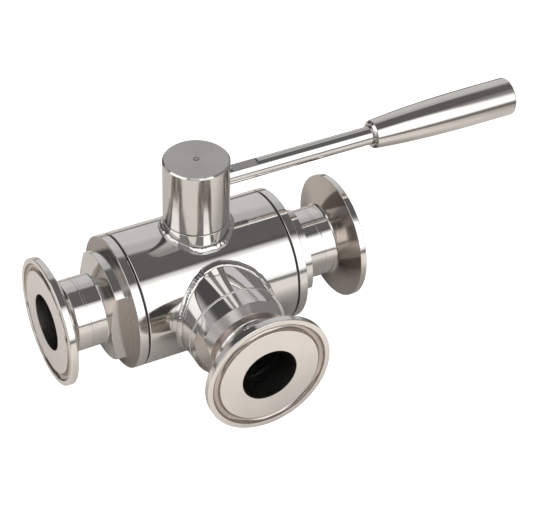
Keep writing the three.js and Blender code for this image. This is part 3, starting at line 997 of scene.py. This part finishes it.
def weld_bead(name, radius, toward, leg, crown, pitch, ripple, roam):
    """A rippled fillet weld where a tube meets the barrel, each ripple lapping the one before.

    leg is how far it reaches along each surface, and crown how far it stands out between its toes. roam
    is how much its place and its crown vary, as a share.
    """
    steps = 1400
    around = 20
    roam_rate = 0.35
    crown_rate = 0.5
    crown_share = 1.4
    crown_noise = Vector((9, 0, 0))
    ripple_bow = 0.45
    uneven_pitch = 0.8
    pitch_rate = 0.2
    buried = 0.5
    vertices = []
    travelled = 0.0
    previous = None
    for i in range(steps):
        angle = TAU * i / steps
        corner, tube_normal, barrel_normal = foot_of_tube(radius, toward, angle)
        if previous is not None:
            travelled += (corner - previous).length
        previous = corner
        wander = roam * noise.noise(corner * roam_rate)
        uneven = noise.noise(corner * crown_rate + crown_noise)
        height = crown * (1 + crown_share * roam * uneven)
        along_tube = barrel_normal - tube_normal * barrel_normal.dot(tube_normal)
        along_barrel = tube_normal - barrel_normal * tube_normal.dot(barrel_normal)
        toe_on_tube = corner + along_tube.normalized() * leg * (1 + wander)
        toe_on_barrel = corner + along_barrel.normalized() * leg * (1 - wander)
        middle = (toe_on_tube + toe_on_barrel) / 2
        side = (toe_on_tube - toe_on_barrel) / 2
        out = (tube_normal + barrel_normal).normalized()
        for k in range(around):
            turn = TAU * k / around
            across = math.cos(turn)
            rise = math.sin(turn)
            bow = 1 - across * across
            lap = travelled / pitch + ripple_bow * bow
            lap += uneven_pitch * noise.noise(corner * pitch_rate)
            scale = ripple * abs(math.sin(math.pi * lap)) * bow
            lift = height * rise + scale if rise > 0 else buried * height * rise
            vertices.append(middle + side * across + out * lift)
    faces = []
    for i in range(steps):
        n = (i + 1) % steps
        for k in range(around):
            m = (k + 1) % around
            faces.append((i * around + k, i * around + m, n * around + m, n * around + k))
    piece = new_object(name, vertices, faces)
    piece.data.polygons.foreach_set("use_smooth", [True] * len(piece.data.polygons))
    piece.data.materials.append(WELD_STEEL)
    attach(piece, STATIC)


def weld_seam(side):
    """The dressed weld between an end cap's tube and its ferrule, low and flat."""
    centre = (BRANCH_TUBE_END if side == "branch" else TUBE_END) + GAP / 2
    proud = 0.05
    sunk = 0.3
    edge = 0.3
    half_foot = 0.8
    half_crown = 0.6
    piece = turned("seam", eased([
        (TUBE_R - sunk, centre - half_foot),
        (TUBE_R + proud, centre - half_crown, edge),
        (TUBE_R + proud, centre + half_crown, edge),
        (TUBE_R - sunk, centre + half_foot),
    ]))
    moved(piece, TOWARD[side])
    name = side + "_tube_weld"
    finished(piece)
    piece.name = name
    piece.data.name = name
    piece.data.materials.append(CAP_STEEL[PORT_AXIS[side]])
    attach(piece, STATIC)


def stem():
    collar = high("stem").x
    tang_bottom = low("stem").z
    stem_top = high("stem").z
    edge = 0.3
    top_edge = 0.5
    piece = turned("stem", eased([
        (0, COLLAR_BOTTOM),
        (collar, COLLAR_BOTTOM, edge),
        (collar, COLLAR_TOP, edge),
        (STEM_R, COLLAR_TOP, edge),
        (STEM_R, stem_top, top_edge),
        (0, stem_top),
    ]), COARSE)
    half_length = TANG_LENGTH / 2
    half_width = TANG_WIDTH / 2
    tang = block(-half_length, half_length, -half_width, half_width, tang_bottom, COLLAR_BOTTOM + 1)
    combined(piece, tang, "UNION")
    flat = STEM_FLATS / 2
    carved(
        piece,
        block(-FAR, FAR, flat, FAR, STEM_FLATS_START, FAR),
        block(-FAR, FAR, -FAR, -flat, STEM_FLATS_START, FAR),
    )
    placed(finished(piece, bevel=0.2), "stem_steel", TURNING, ["stem"], "satin_steel", PLAIN_STEEL)


def packing_ring(node):
    bottom = low(node).z
    top = high(node).z - CHEVRON
    outer = high(node).x
    middle = (RING_BORE_R + outer) / 2
    lip = 0.12
    piece = turned("ring", eased([
        (RING_BORE_R, bottom, lip),
        (middle, bottom + CHEVRON, lip),
        (outer, bottom, lip),
        (outer, top, lip),
        (middle, top + CHEVRON, lip),
        (RING_BORE_R, top, lip),
    ]), MEDIUM)
    placed(finished(piece), node + "_seal", STATIC, [node], "seat_white", PTFE)


def thrust_washer():
    bottom, top, outer = low("thrust_washer").z, high("thrust_washer").z, high("thrust_washer").x
    lip = 0.12
    piece = turned("washer", eased([
        (RING_BORE_R, bottom, lip), (outer, bottom, lip), (outer, top, lip), (RING_BORE_R, top, lip),
    ]), MEDIUM)
    placed(finished(piece), "thrust_washer_seal", STATIC, ["thrust_washer"], "seat_white", PTFE)


def gland_follower():
    bottom, top, outer = low("gland_follower").z, high("gland_follower").z, high("gland_follower").x
    middle = (RING_BORE_R + outer) / 2
    lip = 0.1
    edge = 0.3
    piece = turned("follower", eased([
        (RING_BORE_R, bottom, lip),
        (middle, bottom + CHEVRON, lip),
        (outer, bottom, lip),
        (outer, top, edge),
        (RING_BORE_R, top, edge),
    ]), MEDIUM)
    placed(
        finished(piece), "gland_follower_steel", STATIC, ["gland_follower"], "satin_steel", PLAIN_STEEL
    )


def spring_washer(node, inner_is_high):
    """A coned washer, higher at its hole or at its rim."""
    bottom, top, outer = low(node).z, high(node).z, high(node).x
    thickness = 0.5
    edge = 0.1
    cone = top - bottom - thickness
    inner = bottom + (cone if inner_is_high else 0)
    rim = bottom + (0 if inner_is_high else cone)
    piece = turned("washer", eased([
        (RING_BORE_R, inner, edge),
        (outer, rim, edge),
        (outer, rim + thickness, edge),
        (RING_BORE_R, inner + thickness, edge),
    ]), MEDIUM)
    placed(finished(piece), node + "_steel", TURNING, [node], "spring_steel", SPRING_STEEL)


def gland_nut():
    bottom, top, half_width = low("gland_nut").z, high("gland_nut").z, high("gland_nut").x
    sides = 6
    corner = half_width / math.cos(math.pi / sides)
    bore = STEM_R + GAP
    chamfer = 0.5
    piece = turned("nut", [
        (bore, bottom + chamfer),
        (bore + chamfer, bottom),
        (half_width, bottom),
        (corner, bottom + chamfer),
        (corner, top - chamfer),
        (half_width, top),
        (bore + chamfer, top),
        (bore, top - chamfer),
    ], COARSE)
    for k in range(sides):
        cutter = block(half_width, FAR, -FAR, FAR, 0, FAR)
        carved(piece, moved(cutter, Matrix.Rotation(math.radians(360 * k / sides), 4, "Z")))
    placed(finished(piece, bevel=0.08), "gland_nut_steel", TURNING, ["gland_nut"], "satin_steel", PLAIN_STEEL)


def stop_pin():
    bottom, top = low("stop_pin").z, high("stop_pin").z
    bottom_edge = 0.2
    top_edge = 0.5
    piece = turned("pin", eased([
        (0, bottom), (PIN_R, bottom, bottom_edge), (PIN_R, top, top_edge), (0, top),
    ]), PIN_SEGMENTS)
    turn = math.radians(PIN_ANGLE)
    shifted(piece, PIN_CIRCLE_R * math.cos(turn), PIN_CIRCLE_R * math.sin(turn))
    placed(finished(piece), "stop_pin_steel", STATIC, ["stop_pin"], "spring_steel", SPRING_STEEL)


barrel()
branch_socket()
stem_neck()
branch_cap()
for port in ("left", "right"):
    run_cap(port)
for port in ("left", "right", "branch"):
    ferrule(port)
    weld_seam(port)
    body_gasket(port)
    seat(port + "_seat", port)
seat("rear_seat", "back")
ball()
stem()
thrust_washer()
for level in ("lower", "middle", "upper"):
    packing_ring("packing_ring_" + level)
gland_follower()
spring_washer("spring_washer_lower", True)
spring_washer("spring_washer_upper", False)
gland_nut()
stop_pin()
handle_hub()
lever_rod()
lever_grip()
weld_bead("branch_weld", BRANCH_R, "branch", leg=1.5, crown=0.42, pitch=1.3, ripple=0.05, roam=0.2)
weld_bead("neck_weld", NECK_R, "up", leg=1.75, crown=0.6, pitch=1.9, ripple=0.07, roam=0.18)

# ---- Floor, light and camera ----

# The studio round the valve: dark walls, and soft boxes and pale walls that the steel mirrors. Each
# has its azimuths (0 towards -Y, 90 towards +X) and its elevations in degrees, the brightness that it
# adds, and how many degrees its edges take to fade, sideways and upwards.
DARK = 0.09
PANELS = [
    ((-15, 41), (-30, 56), 0.75, 8, 5),  # the front window
    ((-14, 38), (4, 49), 0.95, 8, 14),  # its bright middle
    ((-52, 6), (51, 61), 0.75, 6, 5),  # the lamp over it, to its left
    ((-122, -62), (2, 64), 0.5, 6, 6),  # the left window
    ((-148, -66), (0, 28), 0.38, 10, 10),  # its low left part
    ((-122, -60), (27, 53), 0.95, 6, 8),  # its bright middle
    ((-62, -18), (-30, 60), 0.22, 6, 10),  # the wall between the windows
    ((130, 178), (-30, 61), 0.45, 12, 6),  # the back wall
    ((132, 178), (-30, 44), 0.14, 10, 14),  # its lower half
    ((46, 132), (-30, 54), 0.2, 12, 8),  # the right wall
    ((-140, -12), (60, 80), 0.35, 8, 8),  # the ceiling's left half
    ((-12, 180), (58, 90), 0.05, 10, 8),  # the ceiling's right half
]

# The table's brightness at each distance from the valve, in metres: pale near the valve, dark past the
# table's edge, and pale again far off.
TABLE = [(0, 1.0), (0.3, 1.0), (0.37, 0.4), (0.75, 0.45), (1.1, 0.9), (1.5, 0.9)]
TABLE_WIDTH = 1.5
TABLE_COLOR = (0.9, 0.855, 0.81, 1)

# Where shade is painted into the table's colour, in metres. UNDER_VALVE is the middle of its painted shadow
# under the valve, the shares of x, y and z that count in the distance from there, where the shade starts
# and is full, and how dark it is. The others have the shares of x, y and z that they are measured along, and
# the same three numbers.
UNDER_VALVE = ((0.04, 0, 0), (0.7, 1.0, 1.0), 0.11, 0.045, 0.4)
TABLE_SHADES = [
    ((0, 1.0, 0), -0.02, 0.1, 0.75),  # behind the valve
    ((1.0, 0, 0), 0.12, 0.27, 0.4),  # on its right
    ((-1.0, -0.6, 0), 0.155, 0.23, 0.35),  # towards the front left corner
]


def studio_light():
    world = bpy.data.worlds.new("studio")
    bpy.context.scene.world = world
    nodes = Nodes(world)
    direction = nodes.add("ShaderNodeTexCoord").outputs["Generated"]
    x, y, z = nodes.add("ShaderNodeSeparateXYZ", {0: direction}).outputs
    azimuth = nodes.math("ARCTAN2", x, nodes.math("MULTIPLY", y, -1.0))
    elevation = nodes.math("ARCSINE", z)

    def between(value, limits, soft):
        start, end = [math.radians(limit) for limit in limits]
        half = math.radians(soft) / 2
        rising = nodes.smooth(value, start - half, start + half)
        falling = nodes.smooth(value, end + half, end - half)
        return nodes.math("MULTIPLY", rising, falling)

    total = DARK
    for azimuths, elevations, brightness, soft_sideways, soft_upwards in PANELS:
        shape = nodes.math(
            "MULTIPLY",
            between(azimuth, azimuths, soft_sideways),
            between(elevation, elevations, soft_upwards),
        )
        total = nodes.math("ADD", nodes.math("MULTIPLY", shape, brightness), total)
    background = nodes.tree.nodes["Background"].inputs
    nodes.tree.links.new(total, background["Strength"])
    background["Color"].default_value = (1, 1, 1, 1)


def floor():
    """A pale table. The camera sees it evenly lit, and the steel sees it shaded by the valve, by real shadow
    and by shade painted into its colour.
    """
    z = -BARREL_R
    half = 3000
    corners = [(-half, -half, z), (half, -half, z), (half, half, z), (-half, half, z)]
    piece = new_object("floor", corners, [(0, 1, 2, 3)])
    paint = Shader("floor_white")

    def shaded(value, measured, start, full, darkest):
        shade = paint.spread(paint.smooth(measured, start, full), 1.0, darkest, 0.0, 1.0)
        return paint.math("MULTIPLY", value, shade)

    place = paint.add("ShaderNodeTexCoord").outputs["Object"]
    distance = paint.add("ShaderNodeVectorMath", {0: place}, operation="LENGTH").outputs["Value"]
    share = paint.math("DIVIDE", distance, TABLE_WIDTH)
    grey = paint.ramp(share, [(metres / TABLE_WIDTH, value) for metres, value in TABLE])
    middle, stretch, start, full, darkest = UNDER_VALVE
    away = paint.add("ShaderNodeVectorMath", {0: place, 1: middle}, operation="SUBTRACT").outputs[0]
    away = paint.add("ShaderNodeVectorMath", {0: away, 1: stretch}, operation="MULTIPLY").outputs[0]
    measured = paint.add("ShaderNodeVectorMath", {0: away}, operation="LENGTH").outputs["Value"]
    # Painted shadow under the valve.
    grey = shaded(grey, measured, start, full, darkest)
    # Painted shade behind the valve, on its right and towards the front left.
    for shares, start, full, darkest in TABLE_SHADES:
        measured = paint.add(
            "ShaderNodeVectorMath", {0: place, 1: shares}, operation="DOT_PRODUCT"
        ).outputs["Value"]
        grey = shaded(grey, measured, start, full, darkest)
    colour = paint.add(
        "ShaderNodeMix",
        {"Factor": 1.0, "A": grey, "B": TABLE_COLOR},
        data_type="RGBA",
        blend_type="MULTIPLY",
    ).outputs["Result"]
    surface = paint.surface.inputs
    paint.tree.links.new(colour, surface["Base Color"])
    surface["Roughness"].default_value = 0.9
    surface["Emission Color"].default_value = (1, 1, 1, 1)
    seen = paint.add("ShaderNodeLightPath").outputs["Is Camera Ray"]
    paint.tree.links.new(seen, surface["Emission Strength"])
    piece.data.materials.append(paint.material)


def key_light():
    """A soft light from the front left that only the table shows, so that the valve shades it."""
    lamp = bpy.data.lights.new("key", "SUN")
    lamp.energy = 2.0
    lamp.angle = math.radians(25)
    light = bpy.data.objects.new("key", lamp)
    light.rotation_euler = (math.radians(42), 0, math.radians(-25))
    light.visible_glossy = False
    bpy.context.scene.collection.objects.link(light)


floor()
studio_light()
key_light()

AZIMUTH = math.radians(-28.76)
ELEVATION = math.radians(39.38)
ROLL = math.radians(2.02)
DISTANCE = 664.4
TARGET = Vector((20.87, -18.93, 13.72))
back = Vector((
    math.sin(AZIMUTH) * math.cos(ELEVATION),
    -math.cos(AZIMUTH) * math.cos(ELEVATION),
    math.sin(ELEVATION),
))
right = (-back).cross(Vector((0, 0, 1))).normalized()
up = right.cross(-back)
camera_right = right * math.cos(ROLL) + up * math.sin(ROLL)
camera_up = up * math.cos(ROLL) - right * math.sin(ROLL)
camera_data = bpy.data.cameras.new("camera")
camera_data.lens = 116.9
camera_data.sensor_width = 36
camera_data.clip_start = 0.01
camera = bpy.data.objects.new("camera", camera_data)
bpy.context.scene.collection.objects.link(camera)
place = (TARGET + back * DISTANCE) * MM
camera.matrix_world = Matrix((
    (camera_right.x, camera_up.x, back.x, place.x),
    (camera_right.y, camera_up.y, back.y, place.y),
    (camera_right.z, camera_up.z, back.z, place.z),
    (0, 0, 0, 1),
))
bpy.context.scene.camera = camera
bpy.context.scene.view_settings.view_transform = "Standard"
